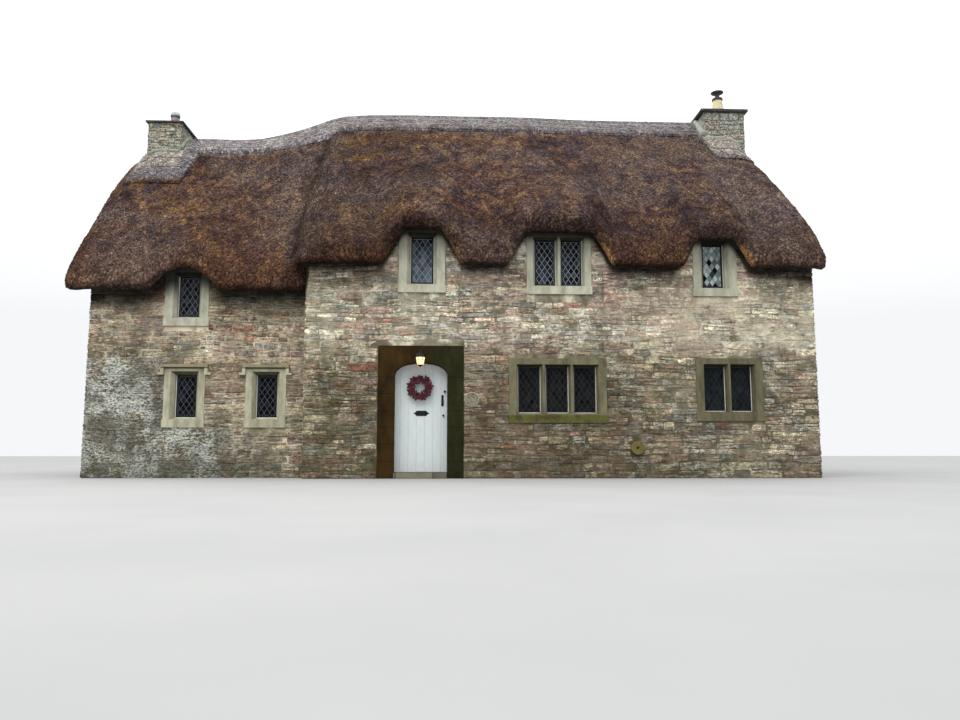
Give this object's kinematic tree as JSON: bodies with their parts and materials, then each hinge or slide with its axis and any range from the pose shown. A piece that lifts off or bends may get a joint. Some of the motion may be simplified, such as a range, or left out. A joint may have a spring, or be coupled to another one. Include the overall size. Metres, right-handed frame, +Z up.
{
  "type": "thatched cottage",
  "caption": "Two-storey rubble stone cottage with a lower wing, sweeping thatched roof with eyebrow eaves, leaded casements and a plank front door that opens.",
  "frame": {"origin": "on the ground at the middle of the footprint, straight under the ridge", "axes": "+X along the front, to the right as seen from the front; +Y from the front to the back; +Z up"},
  "size_m": [13.6046, 7.288, 8.6423],
  "materials": {
    "rubble_stone": "coursed rubble, cream lime mortar",
    "dressed_stone": "chamfered limestone dressings, lightly stained",
    "door_stone": "brown stained ashlar",
    "flagstone": "worn flags",
    "old_stone": "weathered round stones",
    "chimney_slab": "dark slab with lichen",
    "thatch": "weathered straw thatch, cut eaves",
    "ridge_thatch": "newer straw ridge with hazel spars",
    "hazel": "split hazel rods",
    "floor_boards": "plain boards",
    "white_paint": "white painted planks, satin",
    "black_iron": "black painted iron",
    "lead": "grey lead cames",
    "leaded_glass": "dark glass behind lead lattice",
    "lamp_glass": "frosted panes, lit warm",
    "red_berries": "dark red berry wreath",
    "brown_clay": "brown clay pot with a grey hood",
    "buff_clay": "buff clay pot with a dark cowl"
  },
  "bodies": {
    "house": {"main_front_wall_left": "rubble_stone", "main_front_wall_over_door": "rubble_stone", "main_front_wall_right": "rubble_stone", "main_back_wall": "rubble_stone", "wing_front_wall": "rubble_stone", "wing_back_wall": "rubble_stone", "left_gable_wall": "rubble_stone", "right_gable_wall": "rubble_stone", "ground_floor": "flagstone", "main_upper_floor": "floor_boards", "wing_upper_floor": "floor_boards", "wing_thatch_front": "thatch", "wing_thatch_back": "thatch", "main_thatch_front": "thatch", "main_thatch_back": "thatch", "ridge_cap": "ridge_thatch", "left_chimney_stack": "rubble_stone", "left_chimney_slab": "chimney_slab", "left_chimney_pot": "brown_clay", "right_chimney_stack": "rubble_stone", "right_chimney_slab": "chimney_slab", "right_chimney_pot": "buff_clay", "door_surround": "door_stone", "door_step": "flagstone", "door_pintle_lower": "black_iron", "door_pintle_upper": "black_iron", "wall_lamp": "black_iron", "round_plaque": "old_stone", "quern_stone": "old_stone", "window_stone_main_upper_left": "dressed_stone", "window_glazing_main_upper_left": "leaded_glass", "window_stone_main_upper_middle": "dressed_stone", "window_glazing_main_upper_middle": "leaded_glass", "window_stone_main_upper_right": "dressed_stone", "window_glazing_main_upper_right": "leaded_glass", "window_stone_main_lower_middle": "dressed_stone", "window_glazing_main_lower_middle": "leaded_glass", "window_stone_main_lower_right": "dressed_stone", "window_glazing_main_lower_right": "leaded_glass", "window_stone_wing_upper": "dressed_stone", "window_glazing_wing_upper": "leaded_glass", "window_stone_wing_lower_left": "dressed_stone", "window_glazing_wing_lower_left": "leaded_glass", "window_stone_wing_lower_right": "dressed_stone", "window_glazing_wing_lower_right": "leaded_glass", "window_stone_back_upper_left": "dressed_stone", "window_glazing_back_upper_left": "leaded_glass", "window_stone_back_upper_right": "dressed_stone", "window_glazing_back_upper_right": "leaded_glass", "window_stone_back_lower": "dressed_stone", "window_glazing_back_lower": "leaded_glass", "window_stone_wing_back_upper": "dressed_stone", "window_glazing_wing_back_upper": "leaded_glass"},
    "door": {"door_leaf": "white_paint", "door_letter_plate": "black_iron", "door_latch": "black_iron", "door_wreath": "red_berries"}
  },
  "joints": [
    {"name": "front_door_hinge", "type": "hinge", "parent": "house", "child": "door", "pos_m": [-1.04, -2.953, 0.108], "axis": [0, 0, 1], "range_deg": [0, 90]}
  ]
}
